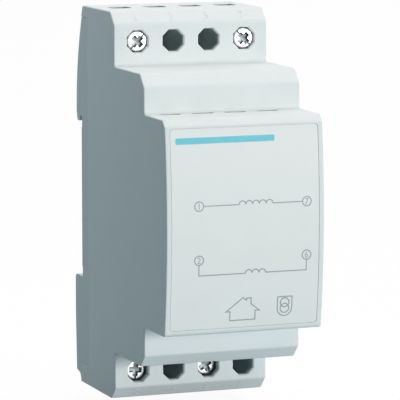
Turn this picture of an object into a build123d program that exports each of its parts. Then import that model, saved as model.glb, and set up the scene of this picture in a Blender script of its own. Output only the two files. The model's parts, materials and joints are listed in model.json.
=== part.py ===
from build123d import *

import os
from math import sqrt

# Two-module safety transformer that snaps onto a 35 mm top-hat rail.
# X points right, Y from the front towards the wall, Z up. The origin is on the face that rests on
# the rail, at the middle of the width and on the rail's centre line. Lengths are in millimetres,
# and a depth is counted forwards from the rail's seat.

# Housing
width = 35.0
wall = 1.6
housing_top = 42.4
housing_bottom = 41.6
terminal_depth = 22.3
middle_depth = 41.2
middle_top = 30.8
middle_bottom = 31.2
panel_depth = 55.0
panel_height = 45.0
panel_crown = 1.5
upper_chamfer = 2.7
panel_chamfer = 1.4
middle_lower_chamfer = 2.6
terminal_lower_chamfer = 2.7
upper_edge_round = 1.2
lower_edge_round = 0.8
panel_upper_round = 0.8
panel_lower_round = 1.0
inner_edge_round = 0.8
side_edge_round = 0.3

# Ventilation openings in the ledges above and below the front panel
vent_count = 4
vent_pitch = 7.25
vent_shift = -1.6
vent_length = 4.9
vent_depth = 1.8
vent_corner = 0.7
vent_setback = 0.9

# Label film in its recess on the front panel
label_side_margin = 1.1
label_top_margin = 0.4
label_bottom_margin = 0.2
label_thickness = 0.25
label_recess = 0.3
label_gap = 0.08
label_corner = 0.8

# Base, and its seam with the housing
fit_gap = 0.1
seam_depth = 4.6
base_inset = 0.12
base_wall = 1.6
base_top = 39.9
base_bottom = 37.2
base_floor_depth = 2.0
top_rear_depth = 1.5
bottom_rear = 0.8
tongue_length = 4.0
tongue_thickness = 1.25
tongue_height = 8.0
tongue_z = 23.0
catch_size = 0.45
catch_length = 0.8

# Rail, the hook over its upper edge and the block below its lower edge
rail_width = 35.0
rail_thickness = 1.0
rail_gap = 0.3
pad_height = 31.0
hook_depth = 3.4
hook_straight = 2.0
hook_slot_gap = 0.5
hook_overlap = 0.7
hook_lip_bevel = 0.6
hook_lip_round = 0.2
hook_tip_round = 0.7
hook_rear_round = 1.2
block_depth = 4.7
block_gap = 0.2
block_corner = 1.2
block_taper_z = 27.0
block_end_depth = 4.1
block_end = 39.2
foot_depth = 1.8
foot_drop = 0.6
foot_end_drop = 2.1
pocket_rib = 1.2
pocket_floor = 1.2
pocket_corner = 0.8

# Rail latch and its spring
latch_width = 10.0
latch_gap = 0.3
channel_depth = 2.7
latch_reach = 1.3
latch_bevel = 1.4
latch_edge_round = 0.2
latch_end = 41.2
latch_slot_width = 4.0
latch_slot_height = 0.9
latch_slot_depth = 2.0
finger_notch_width = 8.0
finger_notch_height = 3.2
window_width = 3.2
window_top = 24.0
window_gap = 0.4
peg_top = 32.6
peg_height = 1.4
spring_diameter = 2.0
spring_wire = 0.4
spring_turns = 5
spring_sides = 6
spring_gap = 0.05

# Terminals
terminal_margin = 1.3
upper_terminal_shift = 0.6
lower_terminal_shift = 0.9
chamber_rib = 1.0
driver_hole = 4.7
driver_hole_bevel = 0.25
wire_entry_width = 4.6
wire_entry_depth = 4.4
wire_entry_corner = 0.7
head_gap = 0.15
head_height = 1.4
head_chamfer = 0.35
thread_diameter = 3.0
thread_gap = 0.05
tip_chamfer = 0.4
tip_gap = 0.05
drive_cross_length = 2.9
drive_cross_width = 1.0
drive_cross_depth = 0.9
drive_slot_width = 0.45
drive_slot_depth = 0.6
clamp_side_gap = 0.45
clamp_side_wall = 0.8
clamp_front_wall = 1.6
clamp_rear_wall = 1.0
clamp_rear_gap = 2.7
clamp_end_gap = 1.4
clamp_corner = 0.7
screw_space = 0.3
wire_space = 4.3
bar_thickness = 1.0
bar_side_gap = 0.3
bar_end_gap = 1.2
bar_tag_length = 3.2

# Core, bobbin and windings, with the coil's axis along Z
core_gap = 0.9
core_rear_rib = 0.5
core_front_rib = 1.4
core_rib_thickness = 1.2
core_rib_height = 32.0
core_rib_gap = 0.05
coil_side_gap = 0.5
bobbin_wall = 0.9
bobbin_gap = 0.2
coil_margin = 0.4
winding_gap = 0.1
winding_corner = 6.0
tape_thickness = 0.3
tape_gap = 0.03

# Leads and thermal fuse
lead_diameter = 1.2
lead_sides = 8
lead_gap = 0.03
lead_hole_gap = 0.15
lead_bend = 2.0
lead_inset = 2.2
lead_rise = 7.0
fuse_diameter = 3.6
fuse_length = 9.0
fuse_lead_reach = 4.0
fuse_bend = 1.2
saddle_thickness = 1.2
saddle_gap = 0.05
saddle_base = 0.5

# The places of each terminal row from the left, where a place without a name has no terminal, the
# terminal that the thermal fuse leads to, how far each screw's slot is turned, in degrees, and how
# deep its head lies in its hole
rows = {
    "upper": ["primary_left", "", "", "primary_right"],
    "lower": ["secondary_left", "", "secondary_right", ""],
}
fused_terminal = "primary_left"
drive_turn = {"primary_left": 45, "primary_right": 135, "secondary_left": 85, "secondary_right": 120}
head_recess = {"primary_left": 0.2, "primary_right": 0.2, "secondary_left": 1.9, "secondary_right": 2.0}

# Sizes that follow from the ones above
terminals = {name: (row, names.index(name)) for row, names in rows.items() for name in names if name}
terminal_count = len(rows["upper"])
cavity_half = width / 2 - wall
base_half = width / 2 - base_inset
terminal_pitch = (width - 2 * terminal_margin) / terminal_count
terminal_x = [(place - (terminal_count - 1) / 2) * terminal_pitch for place in range(terminal_count)]
vent_x = [vent_shift + (place - (vent_count - 1) / 2) * vent_pitch for place in range(vent_count)]
chamber_width = terminal_pitch - chamber_rib
step_end = {"upper": middle_top, "lower": middle_bottom}
housing_end = {"upper": housing_top, "lower": housing_bottom}
rear_edge = {"upper": -top_rear_depth, "lower": bottom_rear}
terminal_level = {
    "upper": (middle_top + housing_top) / 2 - upper_terminal_shift,
    "lower": (middle_bottom + housing_bottom) / 2 - lower_terminal_shift,
}
panel_radius = (panel_height**2 / 4 + panel_crown**2) / (2 * panel_crown)
label_top = panel_height / 2 - panel_chamfer - label_top_margin
label_bottom = panel_lower_round + label_bottom_margin - panel_height / 2
hook_z = rail_width / 2 + hook_slot_gap + hook_straight
hook_rise = hook_depth + top_rear_depth
hook_radius = ((housing_top - hook_z) ** 2 + hook_rise**2) / (2 * hook_rise)
block_top = -(rail_width / 2 + block_gap)
channel_front = bottom_rear + fit_gap
channel_rear = channel_front + channel_depth
latch_front = channel_front + latch_gap
latch_rear = channel_rear - latch_gap
channel_middle = (channel_front + channel_rear) / 2
clamp_rear = -seam_depth - clamp_rear_gap
bar_rear = clamp_rear - clamp_rear_wall - wire_space
bar_front = bar_rear - bar_thickness
clamp_front = bar_front - screw_space - clamp_front_wall
wire_entry_y = bar_rear + wire_space / 2
clamp_width = chamber_width - 2 * clamp_side_gap
bar_width = clamp_width - 2 * (clamp_side_wall + bar_side_gap)
clamp_half_length = min(
    min(terminal_level[row] - step_end[row], housing_end[row] - wall - terminal_level[row])
    for row in rows
) - clamp_end_gap
core_rear = -base_floor_depth - core_rear_rib
core_front = -(panel_depth - panel_crown - wall - core_front_rib)
core_length = core_rear - core_front
core_middle = (core_rear + core_front) / 2
core_height = panel_height - 2 * (wall + core_gap)
core_window = core_length / 6
core_leg = core_length / 3
core_yoke = core_height / 5
window_half_height = core_height / 2 - core_yoke
core_stack = 2 * (cavity_half - coil_side_gap - core_window + coil_margin + bobbin_gap)
flange_half_width = cavity_half - coil_side_gap
flange_half_depth = core_leg / 2 + core_window - bobbin_gap
flange_end = window_half_height - bobbin_gap / 2
lead_y = core_middle + flange_half_depth - lead_inset
tag_y = bar_front - lead_gap - lead_diameter / 2
fuse_level = flange_end + saddle_base + fuse_diameter / 2
fuse_front_y = core_middle - fuse_length / 2
bore_x = core_stack / 2 + bobbin_gap
bore_y = core_leg / 2 + bobbin_gap
tube_x = bore_x + bobbin_wall
tube_y = bore_y + bobbin_wall
coil_x = flange_half_width - coil_margin - tape_thickness - tape_gap
coil_y = flange_half_depth - coil_margin - tape_thickness - tape_gap
chamber_end = flange_end - bobbin_wall - winding_gap
chamber_start = bobbin_wall / 2 + winding_gap


def box_between(low, high):
    """Box from its lowest to its highest corner."""
    size = [b - a for a, b in zip(low, high)]
    middle = [(a + b) / 2 for a, b in zip(low, high)]
    return Pos(*middle) * Box(*size)


def upright_prism(x_half, corners):
    """Solid from -x_half to x_half with a side outline through (y, z, round) corners."""
    with BuildSketch(Plane.YZ) as outline:
        with BuildLine():
            Polyline(*[corner[:2] for corner in corners], close=True)
        make_face()
        round_corners(outline, corners)
    return extrude(outline.sketch, amount=x_half, both=True)


def round_corners(outline, corners):
    """Round each (y, z, round) corner of a sketch whose radius isn't zero."""
    for y, z, radius in corners:
        if radius:
            fillet(outline.vertices().sort_by_distance((y, z))[0], radius)


def side_of(row):
    """Sign of the height at which a terminal row lies."""
    return 1 if row == "upper" else -1


def panel_y(z):
    """Depth coordinate of the crowned front panel at a height."""
    return panel_radius - panel_depth - sqrt(panel_radius**2 - z**2)


def hook_y(z):
    """Depth coordinate of the curved back above the rail hook at a height."""
    return hook_depth - hook_radius + sqrt(hook_radius**2 - (z - hook_z) ** 2)


def stepped_prism(x_half, inset, upper_end, lower_end):
    """Middle step and crowned panel, with the corners that close the outline above and below."""
    top = panel_height / 2 - inset
    face = -middle_depth + inset
    crown_top = top - panel_chamfer
    crown_bottom = -panel_height / 2 + inset
    rounds = {
        "upper": upper_edge_round,
        "lower": lower_edge_round,
        "panel_upper": panel_upper_round,
        "panel_lower": panel_lower_round,
        "inner": inner_edge_round,
    }
    if inset:
        rounds = dict.fromkeys(rounds, 0)
    upper = upper_end + [
        (face + upper_chamfer, middle_top - inset, rounds["upper"]),
        (face, middle_top - inset - upper_chamfer, rounds["upper"]),
        (face, top, rounds["inner"]),
        (panel_y(crown_top) + inset + panel_chamfer, top, rounds["panel_upper"]),
        (panel_y(crown_top) + inset, crown_top, rounds["panel_upper"]),
    ]
    lower = [
        (panel_y(crown_bottom) + inset, crown_bottom, rounds["panel_lower"]),
        (face, crown_bottom, 0),
        (face, inset - middle_bottom + middle_lower_chamfer, rounds["lower"]),
        (face + middle_lower_chamfer, inset - middle_bottom, rounds["lower"]),
    ] + lower_end
    with BuildSketch(Plane.YZ) as outline:
        with BuildLine():
            Polyline(*[corner[:2] for corner in upper])
            ThreePointArc(upper[-1][:2], (inset - panel_depth, 0), lower[0][:2])
            Polyline(*[corner[:2] for corner in lower], upper[0][:2])
        make_face()
        round_corners(outline, upper + lower)
    return extrude(outline.sketch, amount=x_half, both=True)


def panel_strip(half_width, low, high, front, rear, corner):
    """Curved plate that follows the panel's crown, between two distances behind it."""
    with BuildSketch(Plane.YZ) as outline:
        with BuildLine():
            for offset in (front, rear):
                ThreePointArc(
                    (panel_y(low) + offset, low),
                    (offset - panel_depth, 0),
                    (panel_y(high) + offset, high),
                )
            Line((panel_y(low) + front, low), (panel_y(low) + rear, low))
            Line((panel_y(high) + front, high), (panel_y(high) + rear, high))
        make_face()
    strip = extrude(outline.sketch, amount=half_width, both=True)
    return fillet(strip.edges().filter_by(Axis.Y), corner)


def terminal_plane(row, place):
    """Plane on a terminal's front face, centred on its screw, with its normal towards the rail."""
    level = side_of(row) * terminal_level[row]
    return Plane((terminal_x[place], -terminal_depth, level), x_dir=(1, 0, 0), z_dir=(0, 1, 0))


def octagon(across_flats):
    """Regular octagon with flats above, below and at its sides."""
    return RegularPolygon(across_flats / 2, 8, major_radius=False, rotation=22.5)


def terminal_cuts():
    """Screwdriver holes, wire entries and chambers of both rows."""
    cuts = []
    for row in rows:
        floor = side_of(row) * step_end[row]
        ceiling = side_of(row) * (housing_end[row] - wall)
        outside = side_of(row) * housing_end[row]
        for place, x in enumerate(terminal_x):
            cuts.append(
                box_between(
                    (x - chamber_width / 2, wall - terminal_depth, min(floor, ceiling)),
                    (x + chamber_width / 2, rear_edge[row] - wall, max(floor, ceiling)),
                )
            )
            front = terminal_plane(row, place)
            cuts.append(extrude(front * octagon(driver_hole), amount=wall))
            mouth = octagon(driver_hole + 2 * driver_hole_bevel)
            cuts.append(extrude(front * mouth, amount=driver_hole_bevel, taper=45))
            mouth = RectangleRounded(wire_entry_width, wire_entry_depth, wire_entry_corner)
            entry = Pos(x, wire_entry_y, min(ceiling, outside)) * mouth
            cuts.append(extrude(entry, amount=wall))
    return cuts


def vent_cuts():
    """Ventilation openings along the foot of the middle step, through both ledges of the panel."""
    cuts = []
    y = -middle_depth - vent_setback - vent_depth / 2
    for low in (panel_height / 2 - wall, -panel_height / 2):
        for x in vent_x:
            mouth = RectangleRounded(vent_length, vent_depth, vent_corner)
            cuts.append(extrude(Pos(x, y, low) * mouth, amount=wall))
    return cuts


def core_ribs():
    """Ribs inside the housing that hold the core from its sides and from the front."""
    ribs = []
    stack_half = core_stack / 2 + core_rib_gap
    rib_half = core_rib_height / 2
    outer_leg = (core_length - core_leg) / 2 - core_window
    for side in (1, -1):
        for y in (core_front + outer_leg / 2, core_rear - outer_leg / 2):
            inner = side * stack_half
            outer = side * (cavity_half + wall / 2)
            ribs.append(
                box_between(
                    (min(inner, outer), y - core_rib_thickness / 2, -rib_half),
                    (max(inner, outer), y + core_rib_thickness / 2, rib_half),
                )
            )
        x = side * core_stack / 4
        ribs.append(
            box_between(
                (x - core_rib_thickness / 2, wall / 2 - panel_depth + panel_crown, -rib_half),
                (x + core_rib_thickness / 2, core_front - core_rib_gap, rib_half),
            )
        )
    return ribs


def catch_boxes(gap):
    """Catches at the ends of the base's tongues, or with a gap their pockets in the housing."""
    boxes = []
    for side in (1, -1):
        for level in (tongue_z, -tongue_z):
            root = side * (cavity_half - fit_gap - gap)
            tip = side * (cavity_half - fit_gap + catch_size + gap)
            front = -seam_depth - tongue_length
            boxes.append(
                box_between(
                    (min(root, tip), front - gap, level - tongue_height / 4 - gap),
                    (max(root, tip), front + catch_length + gap, level + tongue_height / 4 + gap),
                )
            )
    return boxes


def make_housing():
    upper_end = [
        (hook_y(base_top), base_top, 0),
        (hook_y(housing_top), housing_top, 0),
        (upper_chamfer - terminal_depth, housing_top, upper_edge_round),
        (-terminal_depth, housing_top - upper_chamfer, upper_edge_round),
        (-terminal_depth, middle_top, inner_edge_round),
    ]
    lower_end = [
        (-terminal_depth, -middle_bottom, 0),
        (-terminal_depth, terminal_lower_chamfer - housing_bottom, lower_edge_round),
        (terminal_lower_chamfer - terminal_depth, -housing_bottom, lower_edge_round),
        (bottom_rear, -housing_bottom, 0),
        (bottom_rear, -base_bottom, 0),
        (-seam_depth, -base_bottom, 0),
        (-seam_depth, base_top, 0),
    ]
    body = stepped_prism(width / 2, 0, upper_end, lower_end)
    side_edges = body.faces().filter_by(Axis.X).edges()
    body = fillet([edge for edge in side_edges if edge.center().Y < -seam_depth - fit_gap], side_edge_round)
    cavity_rear = block_depth
    cavity = stepped_prism(
        cavity_half,
        wall,
        [(cavity_rear, middle_top - wall, 0)],
        [(cavity_rear, wall - middle_bottom, 0)],
    )
    body = body - cavity - terminal_cuts() - vent_cuts()
    body = body + core_ribs() - catch_boxes(fit_gap)
    for row, place in terminals.values():
        floor = side_of(row) * (step_end[row] - wall / 2)
        slot = Box(bar_width + 2 * fit_gap, bar_thickness + 2 * fit_gap, 2 * wall)
        body = body - Pos(terminal_x[place], (bar_front + bar_rear) / 2, floor) * slot
    recess = panel_strip(
        width / 2 - label_side_margin,
        label_bottom,
        label_top,
        -label_recess,
        label_recess,
        label_corner,
    )
    return body - recess


def make_label():
    return panel_strip(
        width / 2 - label_side_margin - label_gap,
        label_bottom + label_gap,
        label_top - label_gap,
        label_recess - label_thickness,
        label_recess,
        label_corner - label_gap,
    )


def base_outline():
    """Side outline of the base as (y, z, round) corners, from the seam's top down the rear side."""
    top = base_top - fit_gap
    bottom = fit_gap - base_bottom
    lip_front = rail_thickness + rail_gap
    lip_end = rail_width / 2 - hook_overlap
    slot_end = rail_width / 2 + hook_slot_gap
    pad_half = pad_height / 2
    rear = [
        (hook_depth, slot_end + hook_overlap, hook_rear_round),
        (hook_depth - hook_lip_bevel, lip_end, hook_tip_round),
        (lip_front, lip_end, hook_lip_round),
        (lip_front, slot_end, 0),
        (-rail_gap, slot_end, 0),
        (-rail_gap, pad_half, 0),
        (0, pad_half, 0),
        (0, -pad_half, 0),
        (-rail_gap, -pad_half, 0),
        (-rail_gap, block_top, 0),
        (block_depth, block_top, block_corner),
        (block_depth, -block_taper_z, 0),
        (block_end_depth, -block_end, 0),
        (foot_depth, -block_end - foot_drop, 0),
        (channel_front, -block_end - foot_end_drop, 0),
        (channel_front, bottom, 0),
        (-seam_depth, bottom, 0),
        (-seam_depth, top, 0),
        (hook_y(top), top, 0),
    ]
    middle = (top + hook_z) / 2
    with BuildSketch(Plane.YZ) as outline:
        with BuildLine():
            ThreePointArc((hook_y(top), top), (hook_y(middle), middle), (hook_depth, hook_z))
            Polyline((hook_depth, hook_z), *[corner[:2] for corner in rear])
        make_face()
        round_corners(outline, rear)
    return outline.sketch


def rear_pocket(x_low, x_high, z_low, z_high, floor):
    """Rounded coring pocket that is open to the rear."""
    pocket = box_between((x_low, floor, z_low), (x_high, block_depth + wall, z_high))
    return fillet(pocket.edges().filter_by(Axis.Y), pocket_corner)


def make_base():
    body = extrude(base_outline(), amount=base_half, both=True)
    tray_half = base_half - base_wall
    tray_top = base_top - fit_gap - base_wall
    tray_bottom = fit_gap - base_bottom + base_wall
    tray_front = -seam_depth - wall
    body = body - box_between(
        (-tray_half, tray_front, tray_bottom), (tray_half, -base_floor_depth, tray_top)
    )
    body = body - latch_channel()
    body = body + latch_peg()
    side_rib = base_half - base_wall
    channel_side = latch_width / 2 + latch_gap + pocket_rib
    pocket_low = -block_end + pocket_rib
    pocket_high = block_top - 2 * pocket_rib
    for side in (1, -1):
        edges = sorted((side * channel_side, side * side_rib))
        body = body - rear_pocket(*edges, pocket_low, pocket_high, pocket_floor)
    upper_span = (2 * side_rib - 2 * pocket_rib) / 3
    for place in range(3):
        left = place * (upper_span + pocket_rib) - side_rib
        top = base_top - 2 * pocket_rib - pocket_floor
        body = body - rear_pocket(left, left + upper_span, hook_z + pocket_rib, top, 0)
    for x in terminal_x[1:]:
        rib_x = x - terminal_pitch / 2
        for low, high in ((middle_top, tray_top), (tray_bottom, -middle_bottom)):
            body = body + box_between(
                (rib_x - chamber_rib / 2, fit_gap - seam_depth, low),
                (rib_x + chamber_rib / 2, -base_floor_depth, high),
            )
    for level in ((core_height - core_yoke) / 2, (core_yoke - core_height) / 2):
        body = body + box_between(
            (-core_stack / 2, core_rear, level - core_rib_thickness / 2),
            (core_stack / 2, -base_floor_depth, level + core_rib_thickness / 2),
        )
    return body + tongues()


def tongues():
    """Snap tongues that reach forwards inside the housing's side walls, with their catches."""
    pieces = catch_boxes(0)
    for side in (1, -1):
        outer = side * (cavity_half - fit_gap)
        inner = side * (cavity_half - fit_gap - tongue_thickness)
        for level in (tongue_z, -tongue_z):
            pieces.append(
                box_between(
                    (min(inner, outer), -seam_depth - tongue_length, level - tongue_height / 2),
                    (max(inner, outer), -base_floor_depth, level + tongue_height / 2),
                )
            )
    return pieces


def latch_channel():
    """Channel for the rail latch, open at both ends, with a notch that bares the latch's end."""
    half = latch_width / 2 + latch_gap
    end = -block_end - foot_end_drop - wall
    channel = box_between((-half, channel_front, end), (half, channel_rear, block_top + wall))
    notch = box_between(
        (-finger_notch_width / 2, channel_front, end),
        (finger_notch_width / 2, block_depth + wall, finger_notch_height - block_end),
    )
    return channel + notch


def latch_peg():
    """Peg in the channel that stops the latch and carries its spring."""
    half = window_width / 2 - window_gap
    return box_between(
        (-half, channel_front - wall / 2, -peg_top - peg_height), (half, latch_rear - latch_gap, -peg_top)
    )


def make_latch():
    nose = latch_reach - rail_width / 2
    body = upright_prism(
        latch_width / 2,
        [
            (latch_front, nose, 0),
            (latch_rear - latch_bevel, nose, latch_edge_round),
            (latch_rear, nose - latch_bevel, latch_edge_round),
            (latch_rear, -latch_end, 0),
            (latch_front, -latch_end, 0),
        ],
    )
    window_bottom = -peg_top - peg_height - window_gap
    window = box_between(
        (-window_width / 2, channel_front, window_bottom), (window_width / 2, channel_rear, -window_top)
    )
    slot = box_between(
        (-latch_slot_width / 2, channel_middle - latch_slot_height / 2, -latch_end),
        (latch_slot_width / 2, channel_middle + latch_slot_height / 2, latch_slot_depth - latch_end),
    )
    return body - window - slot


def make_spring():
    length = peg_top - window_top - 2 * spring_gap - spring_wire
    radius = (spring_diameter - spring_wire) / 2
    start = -peg_top + spring_gap + spring_wire / 2
    path = Pos(0, channel_middle, start) * Helix(length / spring_turns, length, radius)
    section = RegularPolygon(spring_wire / 2, spring_sides)
    return sweep(Plane(path @ 0, z_dir=path % 0) * section, path=path)


def make_screw(row, place, turn, recess):
    """Pan-head terminal screw with a cross recess and a slot."""
    head_radius = driver_hole / 2 - head_gap
    head = Pos(0, 0, recess + head_height / 2) * Cylinder(head_radius, head_height)
    head = chamfer(head.edges().sort_by(Axis.Z)[0], head_chamfer)
    shank_start = recess + head_height
    shank_length = bar_front - tip_gap + terminal_depth - shank_start
    shank = Pos(0, 0, shank_start + shank_length / 2) * Cylinder(thread_diameter / 2, shank_length)
    shank = chamfer(shank.edges().sort_by(Axis.Z)[-1], tip_chamfer)
    cross = Box(drive_cross_length, drive_cross_width, 2 * drive_cross_depth)
    cross = cross + Rot(0, 0, 90) * cross
    slot = Box(2 * driver_hole, drive_slot_width, 2 * drive_slot_depth)
    drive = Pos(0, 0, recess) * Rot(0, 0, -turn) * (cross + slot)
    return terminal_plane(row, place) * (head + shank - drive)


def make_clamp(row, place):
    """Rising clamp: a loop round the wire and the contact bar, with a threaded front wall."""
    x = terminal_x[place]
    level = side_of(row) * terminal_level[row]
    low = level - clamp_half_length
    high = level + clamp_half_length
    loop = box_between(
        (x - clamp_width / 2, clamp_front, low), (x + clamp_width / 2, clamp_rear, high)
    )
    loop = fillet(loop.edges().filter_by(Axis.Z), clamp_corner)
    inside = clamp_width / 2 - clamp_side_wall
    loop = loop - box_between(
        (x - inside, clamp_front + clamp_front_wall, low - wall),
        (x + inside, clamp_rear - clamp_rear_wall, high + wall),
    )
    thread = Pos(x, clamp_front + clamp_front_wall / 2, level) * Rot(90, 0, 0)
    return loop - thread * Cylinder(thread_diameter / 2 + thread_gap, 2 * clamp_front_wall)


def make_bar(row, place):
    """Flat contact bar: under the screw's tip in the chamber, with a solder tag inside the case."""
    x = terminal_x[place]
    outer = side_of(row) * (housing_end[row] - wall - bar_end_gap)
    inner = side_of(row) * (step_end[row] - wall - bar_tag_length)
    return box_between(
        (x - bar_width / 2, bar_front, min(outer, inner)), (x + bar_width / 2, bar_rear, max(outer, inner))
    )


def make_core():
    """Stack of E and I laminations."""
    core = Pos(0, core_middle, 0) * Box(core_stack, core_length, core_height)
    window_y = core_leg / 2 + core_window / 2
    for side in (1, -1):
        window = Box(2 * core_stack, core_window, 2 * window_half_height)
        core = core - Pos(0, core_middle + side * window_y, 0) * window
    return core


def ring(half_x, half_y, corner, hole_x, hole_y, low, high):
    """Upright rectangular ring round the coil's axis."""
    outline = Pos(0, core_middle, low) * RectangleRounded(2 * half_x, 2 * half_y, corner)
    hole = Pos(0, core_middle, low) * Rectangle(2 * hole_x, 2 * hole_y)
    return extrude(outline - hole, amount=high - low)


def lead_start(row, place):
    """Point where a lead leaves its winding, through the bobbin's outer flange."""
    side = 1 if terminal_x[place] > 0 else -1
    return side * abs(terminal_x[0]), lead_y, side_of(row) * chamber_end


def make_bobbin():
    """Two-chamber bobbin with lead holes in its flanges and saddles for the thermal fuse."""
    body = ring(tube_x, tube_y, bobbin_wall, bore_x, bore_y, -flange_end, flange_end)
    flanges = ((-flange_end, bobbin_wall - flange_end), (-bobbin_wall / 2, bobbin_wall / 2))
    flanges = flanges + ((flange_end - bobbin_wall, flange_end),)
    for low, high in flanges:
        body = body + ring(flange_half_width, flange_half_depth, bobbin_wall, bore_x, bore_y, low, high)
    hole = Cylinder(lead_diameter / 2 + lead_hole_gap, 4 * bobbin_wall)
    for name, (row, place) in terminals.items():
        x, y, z = lead_start(row, place)
        if name == fused_terminal:
            y = fuse_front_y - fuse_lead_reach
        body = body - Pos(x, y, z) * hole
    x = -abs(terminal_x[0])
    for y in (fuse_front_y + saddle_thickness, fuse_front_y + fuse_length - saddle_thickness):
        saddle = box_between(
            (x - fuse_diameter / 2, y - saddle_thickness / 2, flange_end),
            (x + fuse_diameter / 2, y + saddle_thickness / 2, fuse_level),
        )
        seat = Pos(x, y, fuse_level) * Rot(90, 0, 0)
        seat = seat * Cylinder(fuse_diameter / 2 + saddle_gap, 2 * saddle_thickness)
        body = body + (saddle - seat)
    return body


def winding_span(row):
    """Lower and upper end of the winding that serves a terminal row."""
    return sorted((side_of(row) * chamber_start, side_of(row) * chamber_end))


def make_winding(row):
    gap = winding_gap
    return ring(coil_x, coil_y, winding_corner, tube_x + gap, tube_y + gap, *winding_span(row))


def make_tape(row):
    """Band of insulating tape round a winding."""
    low, high = winding_span(row)
    inner_x = coil_x + tape_gap
    inner_y = coil_y + tape_gap
    outline = Pos(0, core_middle, low) * RectangleRounded(
        2 * (inner_x + tape_thickness), 2 * (inner_y + tape_thickness), winding_corner + tape_thickness
    )
    hole = Pos(0, core_middle, low) * RectangleRounded(2 * inner_x, 2 * inner_y, winding_corner)
    return extrude(outline - hole, amount=high - low)


def wire_along(points, bend):
    """Sheathed wire along straight runs joined by arcs."""
    path = FilletPolyline(*points, radius=bend)
    section = RegularPolygon(lead_diameter / 2, lead_sides)
    return sweep(Plane(path @ 0, z_dir=path % 0) * section, path=path)


def tag_points(row, place):
    """Last two points of a lead, along the front of its contact bar's solder tag."""
    tag_end = side_of(row) * (step_end[row] - wall - lead_gap)
    tag_start = side_of(row) * (step_end[row] - wall - bar_tag_length - lead_bend)
    return [(terminal_x[place], tag_y, tag_start), (terminal_x[place], tag_y, tag_end)]


def make_lead(row, place):
    """Lead from a winding to its contact bar."""
    x, y, z = lead_start(row, place)
    start = (x, y, z + side_of(row) * lead_gap)
    rise = (x, y, side_of(row) * (flange_end + lead_rise))
    return wire_along([start, rise] + tag_points(row, place), lead_bend)


def make_thermal_fuse(row, place):
    """Thermal fuse with its own leads, between the primary winding and its left contact bar."""
    x, y, z = lead_start(row, place)
    fuse_rear_y = fuse_front_y + fuse_length
    body = Pos(x, (fuse_front_y + fuse_rear_y) / 2, fuse_level) * Rot(90, 0, 0)
    body = body * Cylinder(fuse_diameter / 2, fuse_length)
    front_y = fuse_front_y - fuse_lead_reach
    front = [(x, fuse_front_y + fuse_bend, fuse_level), (x, front_y, fuse_level)]
    front.append((x, front_y, z + lead_gap))
    rear = [(x, fuse_rear_y - fuse_bend, fuse_level), (x, y, fuse_level)] + tag_points(row, place)
    return body + wire_along(front, fuse_bend) + wire_along(rear, lead_bend)


def make_parts():
    parts = {
        "housing": make_housing(),
        "front_label": make_label(),
        "base": make_base(),
        "rail_latch": make_latch(),
        "latch_spring": make_spring(),
        "core_stack": make_core(),
        "bobbin": make_bobbin(),
        "primary_winding": make_winding("upper"),
        "secondary_winding": make_winding("lower"),
        "primary_tape": make_tape("upper"),
        "secondary_tape": make_tape("lower"),
    }
    for name, (row, place) in terminals.items():
        parts["terminal_screw_" + name] = make_screw(row, place, drive_turn[name], head_recess[name])
        parts["terminal_clamp_" + name] = make_clamp(row, place)
        parts["contact_bar_" + name] = make_bar(row, place)
        if name == fused_terminal:
            parts["thermal_fuse"] = make_thermal_fuse(row, place)
        else:
            parts["lead_" + name] = make_lead(row, place)
    return parts


os.makedirs("parts", exist_ok=True)
for node, shape in make_parts().items():
    export_step(shape, f"parts/{node}.step")
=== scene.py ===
import json
from math import cos, pi, radians, sin, sqrt

import bmesh
import bpy
from mathutils import Matrix, Vector


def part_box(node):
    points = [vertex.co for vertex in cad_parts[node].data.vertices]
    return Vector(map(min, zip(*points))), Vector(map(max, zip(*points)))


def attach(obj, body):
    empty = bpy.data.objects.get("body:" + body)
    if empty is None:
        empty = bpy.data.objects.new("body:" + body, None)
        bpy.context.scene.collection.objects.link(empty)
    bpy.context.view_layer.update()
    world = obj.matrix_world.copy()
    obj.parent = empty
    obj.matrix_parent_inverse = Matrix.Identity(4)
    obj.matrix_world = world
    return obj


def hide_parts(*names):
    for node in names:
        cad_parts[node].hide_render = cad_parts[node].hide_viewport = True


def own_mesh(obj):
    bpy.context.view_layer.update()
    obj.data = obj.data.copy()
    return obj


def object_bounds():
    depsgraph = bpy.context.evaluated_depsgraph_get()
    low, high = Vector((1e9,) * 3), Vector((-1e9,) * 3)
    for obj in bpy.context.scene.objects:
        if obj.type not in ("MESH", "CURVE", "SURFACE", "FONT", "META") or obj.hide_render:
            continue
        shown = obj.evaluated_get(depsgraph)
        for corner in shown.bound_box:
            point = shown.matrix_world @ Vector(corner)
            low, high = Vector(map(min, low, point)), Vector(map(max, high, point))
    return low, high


# Looks of a two-module safety transformer for a top-hat rail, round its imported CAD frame.
# The frame is in metres, so a size in millimetres is multiplied by MM.
MM = 0.001
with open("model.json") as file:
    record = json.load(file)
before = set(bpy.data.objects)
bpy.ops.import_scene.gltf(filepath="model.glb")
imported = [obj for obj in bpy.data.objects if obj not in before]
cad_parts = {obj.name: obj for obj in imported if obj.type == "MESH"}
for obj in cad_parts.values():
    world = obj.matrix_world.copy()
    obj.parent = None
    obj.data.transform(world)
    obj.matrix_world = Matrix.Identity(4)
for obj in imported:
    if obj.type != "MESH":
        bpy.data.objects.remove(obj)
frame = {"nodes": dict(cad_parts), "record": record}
cad_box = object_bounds()

# Front panel and terminal rows, as in the CAD part
panel_height = 45 * MM
panel_crown = 1.5 * MM
crown_radius = (panel_height**2 / 4 + panel_crown**2) / (2 * panel_crown)
label_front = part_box("front_label")[0].y
terminal_chamfer = 2.7 * MM
terminal_front = -22.3 * MM
terminal_pitch = 8.1 * MM

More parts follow.
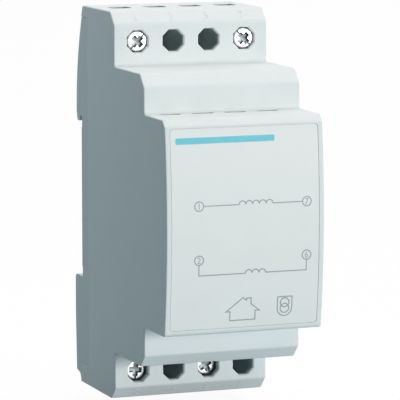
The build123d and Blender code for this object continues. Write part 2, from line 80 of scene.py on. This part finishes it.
# Painted shade in the terminal chambers: the housing's plastic is painted darker through the front wall
# and away from the outer walls
painted_chamber_shade = (0.76, 0.82, 0.83, 1)
chamber_depths = (terminal_front + 0.25 * MM, terminal_front + 1.6 * MM)
chamber_sides = (17 * MM, 16 * MM)
chamber_ends = (38.6 * MM, 36.5 * MM)

# Plastics: sRGB colour, roughness, grain and depth of the grain
plastics = {
    "case_plastic": ((219, 227, 227), 0.6, 0.14 * MM, 0.004 * MM),
    "base_plastic": ((213, 221, 222), 0.6, 0.14 * MM, 0.004 * MM),
    "label_film": ((224, 230, 228), 0.42, 0.3 * MM, 0.001 * MM),
    "latch_plastic": ((160, 167, 170), 0.45, 0.2 * MM, 0.003 * MM),
    "bobbin_plastic": ((38, 39, 42), 0.42, 0.25 * MM, 0.003 * MM),
    "lead_sheath": ((206, 206, 198), 0.4, 0.3 * MM, 0.003 * MM),
}
plastic_gloss = 0.15
plastic_roughness_change = 0.04
mottle_grain = 9 * MM
mottle_contrast = 0.015

# Metals: sRGB colour, roughness, and how much longer their marks are along X, Y and Z
metals = {
    "spring_steel": ((176, 178, 180), 0.3, (1, 1, 6)),
    "screw_steel": ((232, 234, 236), 0.2, (6, 6, 1)),
    "clamp_steel": ((204, 205, 200), 0.34, (1, 6, 1)),
    "contact_brass": ((203, 170, 98), 0.3, (1, 1, 8)),
    # The recess steel is painted darker, a painted shade in the screws' cross recesses and slots
    "shaded_recess_steel": ((128, 137, 140), 0.5, (1, 1, 1)),
}
inks = {"stripe_ink": (92, 191, 208), "line_ink": (150, 162, 165)}

# Span of a pattern that a colour or roughness follows, and the wave texture behind ridges
pattern_span = (0.3, 0.7)
wave_phase_per_scale = 20
ridge_distortion = 0.3
ridge_detail_scale = 0.4

# Print on the label
ink_height = 0.02 * MM
ink_sink = 0.01 * MM
line_width = 0.24 * MM
stripe_left = -15.2 * MM
stripe_right = 6.6 * MM
stripe_level = 18.1 * MM
stripe_width = 1.3 * MM
stripe_corner = 0.3 * MM
ring_radius = 0.98 * MM
ring_digit_height = 1.25 * MM
left_ring_x = -10.35 * MM
right_ring_x = 13.55 * MM
primary_level = 4.6 * MM
secondary_level = -6.65 * MM
secondary_line_level = -9.85 * MM
coil_x = 2.2 * MM
turn_radius = 0.75 * MM
primary_turns = 5
secondary_turns = 3

# House sign on the label
house_middle = -0.4 * MM
house_wall_half = 2.8 * MM
house_eave_half = 3.7 * MM
house_ground = -19.75 * MM
house_eave = -17.85 * MM
house_ridge = -15.0 * MM
chimney_left = 0.35 * MM
chimney_right = 1.4 * MM
chimney_top = -15.15 * MM

# Shield sign on the label
shield_middle = 8.95 * MM
shield_half = 1.62 * MM
shield_top = -15.3 * MM
shield_bend = -17.75 * MM
shield_circle_radius = 0.97 * MM
shield_circle_levels = (-16.55 * MM, -17.75 * MM)

# Embossed terminal numbers on the chamfers above and below the screws
emboss_digit_height = 1.9 * MM
emboss_height = 0.06 * MM
emboss_sink = 0.05 * MM
chamfer_angle = 45
upper_numbers = ["1", "3", "5", "7"]
lower_numbers = ["2", "4", "6", "8"]

# Terminal screws, as in the CAD part, with a thread and a tapered cross recess
screw_turns = {"primary_left": 45, "primary_right": 135, "secondary_left": 85, "secondary_right": 120}
head_height = 1.4 * MM
head_edge = 0.35 * MM
thread_radius = 1.5 * MM
thread_depth = 0.25 * MM
thread_pitch = 0.5 * MM
tip_length = 0.4 * MM
cross_length = 2.9 * MM
cross_width = 1.2 * MM
cross_depth = 0.85 * MM
cross_taper = 0.75
cross_point = 0.25 * MM
slot_length = 5.7 * MM
slot_width = 0.5 * MM
slot_depth = 0.6 * MM
cut_reach = 0.3 * MM
screw_sharp_angle = radians(35)

# Spring of the rail latch, with closed ends
latch_travel = 4 * MM
spring_wire = 0.4 * MM
spring_turns = 7
spring_closed_pitch = 0.42 * MM
spring_sharp_angle = radians(60)

# Steps of round shapes
circle_points = 24
coil_turn_steps = 10
shield_bend_steps = 16
corner_steps = 6
digit_resolution = 6
screw_sides = 32
thread_steps_per_pitch = 4
spring_steps_per_turn = 24
spring_sides = 10

# Floor, which leaves room for the latch at the end of its travel
floor_size = 8
floor_gap = latch_travel + 0.2 * MM
floor_bounce = (0.31, 0.43, 0.48, 1)
floor_paper = (0.95, 0.95, 0.95, 1)
floor_glow = 0.94

# Lamps, which all face the origin
faint_warm = (1, 0.966, 0.957)
warm = (1, 0.92, 0.89)
cool = (0.82, 0.93, 1)
lamps = {
    "front_lamp": {"spot": (0.8, -1.5, 0.15), "size": (1.2, 0.36), "power": 23.1, "colour": faint_warm},
    "top_lamp": {"spot": (0.1, -0.3, 1.6), "size": (1.2, 1.2), "power": 12.1},
    "upper_lamp": {"spot": (0.2, 0.5, 1.6), "size": (1.2, 1.2), "power": 13.1, "colour": warm},
    "side_lamp": {"spot": (-0.14, 0.08, 0.17), "size": (0.08, 0.08), "power": 0.093, "colour": cool},
    "rear_lamp": {"spot": (1.2, 1.2, 0.7), "size": (0.8, 0.8), "power": 7},
    "rear_low_lamp": {"spot": (-0.2, 1.6, 0.25), "size": (0.8, 0.4), "power": 1.2},
}

# Camera, from a fit of the object's corners in the photograph, with lens and sensor in millimetres
camera_aim = Vector((9.08, -3.64, -1.53)) * MM
camera_distance = 701.6 * MM
camera_turn = radians(20.59)
camera_drop = radians(7.81)
camera_lens = 283.6
camera_sensor = 36


def srgb(red, green, blue):
    """Linear colour of an sRGB colour with channels from 0 to 255."""
    channels = []
    for value in (red / 255, green / 255, blue / 255):
        channels.append(value / 12.92 if value < 0.04045 else ((value + 0.055) / 1.055) ** 2.4)
    return (*channels, 1)


def shade(colour, amount):
    """A colour made lighter or darker by a factor."""
    return (*[channel * amount for channel in colour[:3]], 1)


def new_material(name, **constants):
    """Material with a principled shader whose sockets have the given constants."""
    material = bpy.data.materials.new(name)
    material.use_nodes = True
    shader = material.node_tree.nodes["Principled BSDF"]
    for socket, value in constants.items():
        shader.inputs[socket.replace("_", " ")].default_value = value
    return material, shader


def place(material):
    """Position on the object in metres, as a texture coordinate."""
    return material.node_tree.nodes.new("ShaderNodeTexCoord").outputs["Object"]


def noise(material, grain, detail=2, stretch=(1, 1, 1)):
    """Noise whose grains are about as large as given in metres, longer along a stretched axis."""
    tree = material.node_tree
    mapping = tree.nodes.new("ShaderNodeMapping")
    mapping.inputs["Scale"].default_value = [1 / amount for amount in stretch]
    texture = tree.nodes.new("ShaderNodeTexNoise")
    texture.inputs["Scale"].default_value = 1 / grain
    texture.inputs["Detail"].default_value = detail
    tree.links.new(place(material), mapping.inputs["Vector"])
    tree.links.new(mapping.outputs["Vector"], texture.inputs["Vector"])
    return texture.outputs["Fac"]


def ridges(material, axis, pitch):
    """Even ridges across an axis, such as sheets of a stack or turns of a winding."""
    tree = material.node_tree
    wave = tree.nodes.new("ShaderNodeTexWave")
    wave.bands_direction = axis
    wave.inputs["Scale"].default_value = 2 * pi / (wave_phase_per_scale * pitch)
    wave.inputs["Distortion"].default_value = ridge_distortion
    wave.inputs["Detail Scale"].default_value = ridge_detail_scale
    tree.links.new(place(material), wave.inputs["Vector"])
    return wave.outputs["Fac"]


def calculate(tree, operation, *values):
    """Result of a mathematical operation on outputs of nodes."""
    node = tree.nodes.new("ShaderNodeMath")
    node.operation = operation
    for socket, value in zip(node.inputs, values):
        tree.links.new(value, socket)
    return node.outputs[0]


def rise(tree, value, start, end, low=0, high=1):
    """Output that goes from low to high while a value goes from its start to its end."""
    spread = tree.nodes.new("ShaderNodeMapRange")
    limits = {"From Min": start, "From Max": end, "To Min": low, "To Max": high}
    for socket, limit in limits.items():
        spread.inputs[socket].default_value = limit
    tree.links.new(value, spread.inputs["Value"])
    return spread.outputs["Result"]


def vary_colour(material, shader, pattern, first, second):
    """Base colour that goes from the first colour to the second with a pattern."""
    tree = material.node_tree
    ramp = tree.nodes.new("ShaderNodeValToRGB")
    for element, position, colour in zip(ramp.color_ramp.elements, pattern_span, (first, second)):
        element.position = position
        element.color = colour
    tree.links.new(pattern, ramp.inputs["Fac"])
    tree.links.new(ramp.outputs["Color"], shader.inputs["Base Color"])


def vary_roughness(material, shader, pattern, low, high):
    """Roughness between two values with a pattern."""
    tree = material.node_tree
    tree.links.new(rise(tree, pattern, *pattern_span, low, high), shader.inputs["Roughness"])


def add_bump(material, shader, pattern, depth):
    """Relief of a depth in metres."""
    relief = material.node_tree.nodes.new("ShaderNodeBump")
    relief.inputs["Distance"].default_value = depth
    material.node_tree.links.new(pattern, relief.inputs["Height"])
    material.node_tree.links.new(relief.outputs["Normal"], shader.inputs["Normal"])


def moulded_plastic(name, colour, roughness, grain, depth):
    """Moulded plastic with a spark-eroded grain and a slight mottle."""
    material, shader = new_material(name, Specular_IOR_Level=plastic_gloss)
    mottle = noise(material, mottle_grain, detail=3)
    darker = shade(colour, 1 - mottle_contrast)
    lighter = shade(colour, 1 + mottle_contrast)
    vary_colour(material, shader, mottle, darker, lighter)
    smoother = roughness - plastic_roughness_change
    rougher = roughness + plastic_roughness_change
    vary_roughness(material, shader, mottle, smoother, rougher)
    add_bump(material, shader, noise(material, grain), depth)
    return material


def paint_chamber_shade(material):
    """Painted shade: the housing's plastic painted darker inside the terminal chambers."""
    tree = material.node_tree
    split = tree.nodes.new("ShaderNodeSeparateXYZ")
    tree.links.new(place(material), split.inputs[0])
    painted_shade_mask = rise(tree, split.outputs["Y"], *chamber_depths)
    for axis, limits in (("X", chamber_sides), ("Z", chamber_ends)):
        reach = calculate(tree, "ABSOLUTE", split.outputs[axis])
        painted_shade_mask = calculate(tree, "MULTIPLY", painted_shade_mask, rise(tree, reach, *limits))
    colour = tree.nodes["Principled BSDF"].inputs["Base Color"]
    # Multiply the base colour by the chamber colour, a painted shade
    painted_shade_mix = tree.nodes.new("ShaderNodeMixRGB")
    painted_shade_mix.blend_type = "MULTIPLY"
    painted_shade_mix.inputs["Color2"].default_value = painted_chamber_shade
    tree.links.new(painted_shade_mask, painted_shade_mix.inputs["Fac"])
    tree.links.new(colour.links[0].from_socket, painted_shade_mix.inputs["Color1"])
    tree.links.new(painted_shade_mix.outputs["Color"], colour)


def plain_metal(name, colour, roughness, stretch):
    """Metal with fine draw or rolling marks along the stretched axis."""
    material, shader = new_material(name, Metallic=1)
    marks = noise(material, grain=0.15 * MM, detail=3, stretch=stretch)
    blotches = noise(material, grain=2 * MM)
    vary_colour(material, shader, blotches, shade(colour, 0.93), colour)
    vary_roughness(material, shader, marks, low=roughness - 0.06, high=roughness + 0.08)
    add_bump(material, shader, marks, depth=0.002 * MM)
    return material


def core_steel():
    """Edges of stacked silicon-steel sheets."""
    material, shader = new_material("core_steel", Metallic=0.9)
    sheets = ridges(material, axis="X", pitch=0.5 * MM)
    vary_colour(material, shader, sheets, srgb(62, 64, 68), srgb(120, 122, 124))
    vary_roughness(material, shader, noise(material, grain=1.5 * MM), low=0.4, high=0.6)
    add_bump(material, shader, sheets, depth=0.05 * MM)
    return material


def wound_copper():
    """Layers of enamelled wire round the coil's axis."""
    material, shader = new_material("copper", Metallic=0.85, Coat_Weight=0.4, Coat_Roughness=0.15)
    turns = ridges(material, axis="Z", pitch=0.35 * MM)
    vary_colour(material, shader, turns, srgb(112, 52, 24), srgb(201, 118, 66))
    vary_roughness(material, shader, noise(material, grain=2 * MM), low=0.25, high=0.4)
    add_bump(material, shader, turns, depth=0.12 * MM)
    return material


def insulating_tape():
    """Polyester tape drawn tight, with the turns below showing as faint ridges."""
    material, shader = new_material("tape", Coat_Weight=0.5, Coat_Roughness=0.1)
    patches = noise(material, grain=4 * MM)
    vary_colour(material, shader, patches, srgb(205, 168, 60), srgb(222, 186, 82))
    vary_roughness(material, shader, noise(material, grain=3 * MM), low=0.25, high=0.4)
    add_bump(material, shader, ridges(material, axis="Z", pitch=0.7 * MM), depth=0.02 * MM)
    return material


def printed_ink(name, colour):
    """Screen-printed ink, a little thinner in places."""
    material, shader = new_material(name, Specular_IOR_Level=0.35)
    cover = noise(material, grain=0.4 * MM, detail=3)
    vary_colour(material, shader, cover, shade(colour, 0.96), shade(colour, 1.05))
    vary_roughness(material, shader, noise(material, grain=1.2 * MM), low=0.42, high=0.52)
    add_bump(material, shader, noise(material, grain=0.1 * MM), depth=0.001 * MM)
    return material


def make_finishes():
    """Materials by name, among them one for each material slot of the record."""
    made = {"core_steel": core_steel(), "copper": wound_copper(), "tape": insulating_tape()}
    for name, (colour, *surface) in plastics.items():
        made[name] = moulded_plastic(name, srgb(*colour), *surface)
    for name, (colour, *surface) in metals.items():
        made[name] = plain_metal(name, srgb(*colour), *surface)
    for name, colour in inks.items():
        made[name] = printed_ink(name, srgb(*colour))
    # Painted shade inside the terminal chambers
    paint_chamber_shade(made["case_plastic"])
    return made


def dress_cad_nodes():
    """Give every CAD node the finish of its material slot."""
    for part in frame["record"]["subparts"]:
        mesh = frame["nodes"][part["node"]].data
        mesh.materials.clear()
        mesh.materials.append(finishes[part["material_slot"]])


def new_object(name, data):
    """Object in the scene with the data of a mesh, text, lamp or camera."""
    thing = bpy.data.objects.new(name, data)
    bpy.context.scene.collection.objects.link(thing)
    return thing


def add_piece(name, mesh, body="case"):
    """Object of a mesh that rides on a body."""
    piece = new_object(name, mesh)
    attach(piece, body)
    return piece


def join_rings(working, rings):
    """Faces between each ring of vertices and the next."""
    for ring, follower in zip(rings, rings[1:]):
        for step in range(len(ring)):
            after = (step + 1) % len(ring)
            working.faces.new((ring[step], ring[after], follower[after], follower[step]))


def close_tube(working, rings):
    """Faces between rings of vertices, and across the first and the last of them."""
    join_rings(working, rings)
    working.faces.new(rings[0])
    working.faces.new(rings[-1])


def finish_mesh(name, working, material):
    """Mesh data of one material from a bmesh, with its faces turned outwards."""
    bmesh.ops.recalc_face_normals(working, faces=working.faces)
    mesh = bpy.data.meshes.new(name)
    working.to_mesh(mesh)
    working.free()
    mesh.materials.append(material)
    return mesh


def quarter_round(radius):
    """Distances from two faces to points along the round between them, from the first face on."""
    angles = [radians(90 * step / corner_steps) for step in range(corner_steps + 1)]
    return [(radius * (1 - cos(angle)), radius * (1 - sin(angle))) for angle in angles]


def on_label(x, z, height):
    """Point at a height above the label's curved front."""
    return Vector((x, label_front + crown_radius - sqrt(crown_radius**2 - z**2) - height, z))


def arc(x, z, radius, start, end, steps):
    """Points along an arc on the label, with its angles in degrees from the right."""
    angles = [radians(start + (end - start) * step / steps) for step in range(steps + 1)]
    return [(x + radius * cos(angle), z + radius * sin(angle)) for angle in angles]


def circle(x, z, radius):
    """Points round a circle on the label, without the first one again at the end."""
    return arc(x, z, radius, 0, 360 - 360 / circle_points, circle_points - 1)


def stroke_edges(points, closed):
    """Left and right edge of a printed line through the points, mitred at its corners."""
    corners = [Vector(point) for point in points]
    edges = []
    for index, corner in enumerate(corners):
        before = corners[index - 1]
        after = corners[(index + 1) % len(corners)]
        arriving = (corner - before).normalized()
        leaving = (after - corner).normalized()
        if not closed and index == 0:
            arriving = leaving
        if not closed and index == len(corners) - 1:
            leaving = arriving
        across = (arriving + leaving).orthogonal().normalized()
        reach = across / across.dot(arriving.orthogonal())
        edges.append((corner + reach * line_width / 2, corner - reach * line_width / 2))
    return edges


def add_stroke(working, edges, closed):
    """Thin raised strip of ink between the two edges of a line."""
    heights = (-ink_sink, ink_height)
    ribs = []
    for left, right in edges:
        corners = [on_label(*left, height) for height in heights]
        corners += [on_label(*right, height) for height in reversed(heights)]
        ribs.append([working.verts.new(corner) for corner in corners])
    if closed:
        join_rings(working, ribs + ribs[:1])
    else:
        close_tube(working, ribs)


def coil_strokes(level, turns, left_run, right_run):
    """Winding sign, a row of half turns, with the lines that run to it from the left and the right."""
    start = coil_x - turns * turn_radius
    strokes = [left_run + [(start, level)], right_run + [(2 * coil_x - start, level)]]
    for turn in range(turns):
        middle = start + (2 * turn + 1) * turn_radius
        strokes.append(arc(middle, level, turn_radius, 0, 180, coil_turn_steps))
    return strokes


def house_outline():
    """House sign for indoor use: walls, eaves and a chimney on the right slope."""
    slope = (house_eave - house_ridge) / house_eave_half
    return [
        (house_middle - house_wall_half, house_ground),
        (house_middle - house_wall_half, house_eave),
        (house_middle - house_eave_half, house_eave),
        (house_middle, house_ridge),
        (chimney_left, house_ridge + slope * (chimney_left - house_middle)),
        (chimney_left, chimney_top),
        (chimney_right, chimney_top),
        (chimney_right, house_ridge + slope * (chimney_right - house_middle)),
        (house_middle + house_eave_half, house_eave),
        (house_middle + house_wall_half, house_eave),
        (house_middle + house_wall_half, house_ground),
    ]


def shield_strokes():
    """Sign of a safety transformer: two linked circles in a shield."""
    outline = [(shield_middle + shield_half, shield_top), (shield_middle - shield_half, shield_top)]
    outline += arc(shield_middle, shield_bend, shield_half, 180, 360, shield_bend_steps)
    circles = [circle(shield_middle, level, shield_circle_radius) for level in shield_circle_levels]
    return [outline] + circles


def print_lines():
    """Wiring diagram and signs on the label."""
    lines = coil_strokes(
        primary_level,
        primary_turns,
        [(left_ring_x + ring_radius, primary_level)],
        [(right_ring_x - ring_radius, primary_level)],
    )
    drop_start = secondary_level - ring_radius
    lines += coil_strokes(
        secondary_line_level,
        secondary_turns,
        [(left_ring_x, drop_start), (left_ring_x, secondary_line_level)],
        [(right_ring_x, drop_start), (right_ring_x, secondary_line_level)],
    )
    rings = []
    for x in (left_ring_x, right_ring_x):
        for level in (primary_level, secondary_level):
            rings.append(circle(x, level, ring_radius))
    working = bmesh.new()
    for points in lines:
        add_stroke(working, stroke_edges(points, False), False)
    for points in rings + [house_outline()] + shield_strokes():
        add_stroke(working, stroke_edges(points, True), True)
    mesh = finish_mesh("label_diagram", working, finishes["line_ink"])
    add_piece("label_diagram", mesh)


def print_stripe():
    """Coloured stripe with round corners near the label's top."""
    corner = [(inset, stripe_width / 2 - drop) for inset, drop in quarter_round(stripe_corner)]
    halves = [(stripe_left + inset, half) for inset, half in corner]
    halves += [(stripe_right - inset, half) for inset, half in reversed(corner)]
    edges = [((x, stripe_level + half), (x, stripe_level - half)) for x, half in halves]
    working = bmesh.new()
    add_stroke(working, edges, False)
    mesh = finish_mesh("label_stripe", working, finishes["stripe_ink"])
    add_piece("label_stripe", mesh)


def evaluated_mesh(thing):
    """Mesh of a text object, or of an object with its modifiers applied."""
    bpy.context.view_layer.update()
    graph = bpy.context.evaluated_depsgraph_get()
    return bpy.data.meshes.new_from_object(thing.evaluated_get(graph))


def digit_mesh(digit, height, material):
    """Flat digit of a height in metres, one metre deep along Z, with its middle at the origin."""
    curve = bpy.data.curves.new("digit", "FONT")
    curve.body = digit
    curve.extrude = 1 / 2
    curve.resolution_u = digit_resolution
    writing = new_object("digit", curve)
    mesh = evaluated_mesh(writing)
    bpy.data.objects.remove(writing)
    mesh.materials.append(material)
    lowest = Vector([min(vertex.co[axis] for vertex in mesh.vertices) for axis in range(3)])
    highest = Vector([max(vertex.co[axis] for vertex in mesh.vertices) for axis in range(3)])
    size = height / (highest.y - lowest.y)
    mesh.transform(Matrix.Diagonal((size, size, 1, 1)) @ Matrix.Translation(-(lowest + highest) / 2))
    return mesh


def print_digits():
    """Terminal numbers in the rings of the wiring diagram."""
    numbers = {
        "1": (left_ring_x, primary_level),
        "7": (right_ring_x, primary_level),
        "2": (left_ring_x, secondary_level),
        "6": (right_ring_x, secondary_level),
    }
    for digit, (x, level) in numbers.items():
        mesh = digit_mesh(digit, ring_digit_height, finishes["line_ink"])
        for vertex in mesh.vertices:
            height = ink_height if vertex.co.z > 0 else -ink_sink
            vertex.co = on_label(x + vertex.co.x, level + vertex.co.y, height)
        mesh.update()
        add_piece("label_number_" + digit, mesh)


def emboss_numbers():
    """Raised terminal numbers on the chamfers of the terminal rows."""
    low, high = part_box("housing")
    rows = [
        (upper_numbers, high.z - terminal_chamfer / 2, chamfer_angle),
        (lower_numbers, low.z + terminal_chamfer / 2, 180 - chamfer_angle),
    ]
    thickness = Matrix.Diagonal((1, 1, emboss_height + emboss_sink, 1))
    raise_half = Matrix.Translation((0, 0, (emboss_height - emboss_sink) / 2))
    for numbers, level, angle in rows:
        tilt = Matrix.Rotation(radians(angle), 4, "X")
        for index, digit in enumerate(numbers):
            x = (index - (len(numbers) - 1) / 2) * terminal_pitch
            spot = Matrix.Translation((x, terminal_front + terminal_chamfer / 2, level))
            mesh = digit_mesh(digit, emboss_digit_height, finishes["case_plastic"])
            mesh.transform(spot @ tilt @ raise_half @ thickness)
            add_piece("terminal_number_" + digit, mesh)


def thread_reach(depth, length, angle):
    """Radius of a pointed right-hand thread, cut short towards the screw's tip."""
    turn = (depth / thread_pitch + angle / (2 * pi)) % 1
    crest = thread_radius - thread_depth * abs(2 * turn - 1)
    return min(crest, thread_radius - tip_length + length - depth)


def screw_blank(length, radius):
    """Screw along Y with its head's front at the origin: a round-edged head and a threaded shank."""
    levels = [(depth, radius - inset) for depth, inset in quarter_round(head_edge)]
    levels.append((head_height, radius))
    shank = length - head_height
    steps = round(thread_steps_per_pitch * shank / thread_pitch)
    levels += [(head_height + shank * step / steps, None) for step in range(steps + 1)]
    working = bmesh.new()
    rings = []
    for depth, level_radius in levels:
        ring = []
        for side in range(screw_sides):
            angle = 2 * pi * side / screw_sides
            reach = level_radius or thread_reach(depth, length, angle)
            ring.append(working.verts.new((reach * cos(angle), depth, reach * sin(angle))))
        rings.append(ring)
    close_tube(working, rings)
    return finish_mesh("screw", working, finishes["screw_steel"])


def cross_cutter():
    """Tapered cross with a pointed floor."""
    arm = cross_length / 2
    half = cross_width / 2
    outline = []
    for quarter in range(4):
        turn = Matrix.Rotation(radians(90 * quarter), 2)
        outline += [turn @ Vector(corner) for corner in ((arm, -half), (arm, half), (half, half))]
    working = bmesh.new()
    rings = []
    for depth in (-cut_reach, cross_depth):
        size = 1 - (1 - cross_taper) * depth / cross_depth
        rings.append([working.verts.new((size * x, depth, size * z)) for x, z in outline])
    join_rings(working, rings)
    working.faces.new(rings[0])
    tip = working.verts.new((0, cross_depth + cross_point, 0))
    for step, corner in enumerate(rings[1]):
        working.faces.new((corner, rings[1][step - 1], tip))
    # The cross's faces take the darker recess colour, a painted shade
    return new_object("cross", finish_mesh("cross", working, finishes["shaded_recess_steel"]))


def slot_cutter():
    """Straight slot across the whole head."""
    working = bmesh.new()
    bmesh.ops.create_cube(working, size=1)
    size = Matrix.Diagonal((slot_length, slot_depth + cut_reach, slot_width, 1))
    working.transform(Matrix.Translation((0, (slot_depth - cut_reach) / 2, 0)) @ size)
    # The slot's faces take the darker recess colour, a painted shade
    return new_object("slot", finish_mesh("slot", working, finishes["shaded_recess_steel"]))


def make_screws():
    """Terminal screws in place of their plainer CAD nodes."""
    for name, turn in screw_turns.items():
        node = "terminal_screw_" + name
        low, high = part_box(node)
        blank = new_object("blank", screw_blank(high.y - low.y, (high.x - low.x) / 2))
        cutters = [cross_cutter(), slot_cutter()]
        for cutter in cutters:
            cut = blank.modifiers.new("cut", "BOOLEAN")
            cut.object = cutter
            cut.material_mode = "TRANSFER"
        mesh = evaluated_mesh(blank)
        for thing in cutters + [blank]:
            bpy.data.objects.remove(thing)
        spot = Matrix.Translation(((low.x + high.x) / 2, low.y, (low.z + high.z) / 2))
        mesh.transform(spot @ Matrix.Rotation(radians(-turn), 4, "Y"))
        mesh.shade_smooth()
        mesh.set_sharp_from_angle(angle=screw_sharp_angle)
        piece = add_piece("screw_detail_" + name, mesh, "screw_" + name)
        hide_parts(node)


def spring_level(turn, length):
    """Height of the spring's wire above its first end after a number of turns."""
    active_pitch = (length - 2 * spring_closed_pitch) / (spring_turns - 2)
    closed = min(turn, 1) + max(turn - spring_turns + 1, 0)
    return closed * spring_closed_pitch + (turn - closed) * active_pitch


def make_spring():
    """Latch spring of round wire in place of its plainer CAD node, squeezed by the latch."""
    low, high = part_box("latch_spring")
    radius = (high.x - low.x - spring_wire) / 2
    middle = (low + high) / 2
    length = high.z - low.z - spring_wire
    working = bmesh.new()
    rings = []
    for step in range(spring_turns * spring_steps_per_turn + 1):
        turn = step / spring_steps_per_turn
        level = low.z + spring_wire / 2 + spring_level(turn, length)
        outwards = Vector((cos(2 * pi * turn), sin(2 * pi * turn), 0))
        centre = Vector((middle.x, middle.y, level)) + radius * outwards
        ring = []
        for side in range(spring_sides):
            angle = 2 * pi * side / spring_sides
            corner = cos(angle) * outwards + sin(angle) * Vector((0, 0, 1))
            ring.append(working.verts.new(centre + spring_wire / 2 * corner))
        rings.append(ring)
    close_tube(working, rings)
    mesh = finish_mesh("spring_detail", working, finishes["spring_steel"])
    mesh.shade_smooth()
    mesh.set_sharp_from_angle(angle=spring_sharp_angle)
    piece = add_piece("spring_detail", mesh)
    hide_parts("latch_spring")
    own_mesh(piece)


def backdrop_rays(tree):
    """Factor of 1 for rays that see the backdrop: from the camera, in reflections and through glass."""
    path = tree.nodes.new("ShaderNodeLightPath")
    total = path.outputs["Is Camera Ray"]
    for ray in ("Is Glossy Ray", "Is Transmission Ray"):
        total = calculate(tree, "MAXIMUM", total, path.outputs[ray])
    return total


def matt_shader(tree, colour):
    """Diffuse shader of a colour."""
    shader = tree.nodes.new("ShaderNodeBsdfDiffuse")
    shader.inputs["Color"].default_value = colour
    return shader


def mix_shaders(tree, first, second):
    """Mix of two shaders, whose factor is still to be set."""
    mix = tree.nodes.new("ShaderNodeMixShader")
    tree.links.new(first.outputs[0], mix.inputs[1])
    tree.links.new(second.outputs[0], mix.inputs[2])
    return mix


def make_floor():
    """Pale floor that looks white, keeps a faint shadow and throws cool light back at the object."""
    bpy.ops.mesh.primitive_plane_add(size=floor_size, location=(0, 0, cad_box[0][2] - floor_gap))
    floor = bpy.context.object
    floor.name = "floor"
    material = bpy.data.materials.new("floor")
    material.use_nodes = True
    tree = material.node_tree
    tree.nodes.clear()
    glow = tree.nodes.new("ShaderNodeEmission")
    seen = mix_shaders(tree, matt_shader(tree, floor_paper), glow)
    seen.inputs["Fac"].default_value = floor_glow
    surface = mix_shaders(tree, matt_shader(tree, floor_bounce), seen)
    tree.links.new(backdrop_rays(tree), surface.inputs["Fac"])
    output = tree.nodes.new("ShaderNodeOutputMaterial")
    tree.links.new(surface.outputs[0], output.inputs["Surface"])
    floor.data.materials.append(material)


def make_world():
    """Surroundings that look white and throw no light on matt surfaces."""
    world = bpy.data.worlds.new("studio")
    bpy.context.scene.world = world
    world.use_nodes = True
    white = world.node_tree.nodes["Background"]
    white.inputs["Color"].default_value = (1, 1, 1, 1)
    world.node_tree.links.new(backdrop_rays(world.node_tree), white.inputs["Strength"])


def aim(thing, spot, direction):
    """Put a lamp or camera at a spot, so that it faces a direction."""
    thing.location = spot
    thing.rotation_euler = direction.to_track_quat("-Z", "Y").to_euler()


def add_lamp(name, spot, size, power, colour=(1, 1, 1)):
    """Soft rectangular lamp that faces the object."""
    light = bpy.data.lights.new(name, "AREA")
    light.shape = "RECTANGLE"
    light.size, light.size_y = size
    light.energy = power
    light.color = colour
    aim(new_object(name, light), spot, -Vector(spot))


def make_camera():
    """Camera at the photograph's viewing angle."""
    level = cos(camera_drop)
    direction = Vector((sin(camera_turn) * level, cos(camera_turn) * level, -sin(camera_drop)))
    data = bpy.data.cameras.new("camera")
    data.lens = camera_lens
    data.sensor_width = camera_sensor
    camera = new_object("camera", data)
    aim(camera, camera_aim - direction * camera_distance, direction)
    bpy.context.scene.camera = camera


finishes = make_finishes()
dress_cad_nodes()
print_stripe()
print_lines()
print_digits()
emboss_numbers()
make_screws()
make_spring()
make_floor()
make_world()
for lamp_name, settings in lamps.items():
    add_lamp(lamp_name, **settings)
make_camera()
bpy.context.scene.view_settings.view_transform = "Standard"
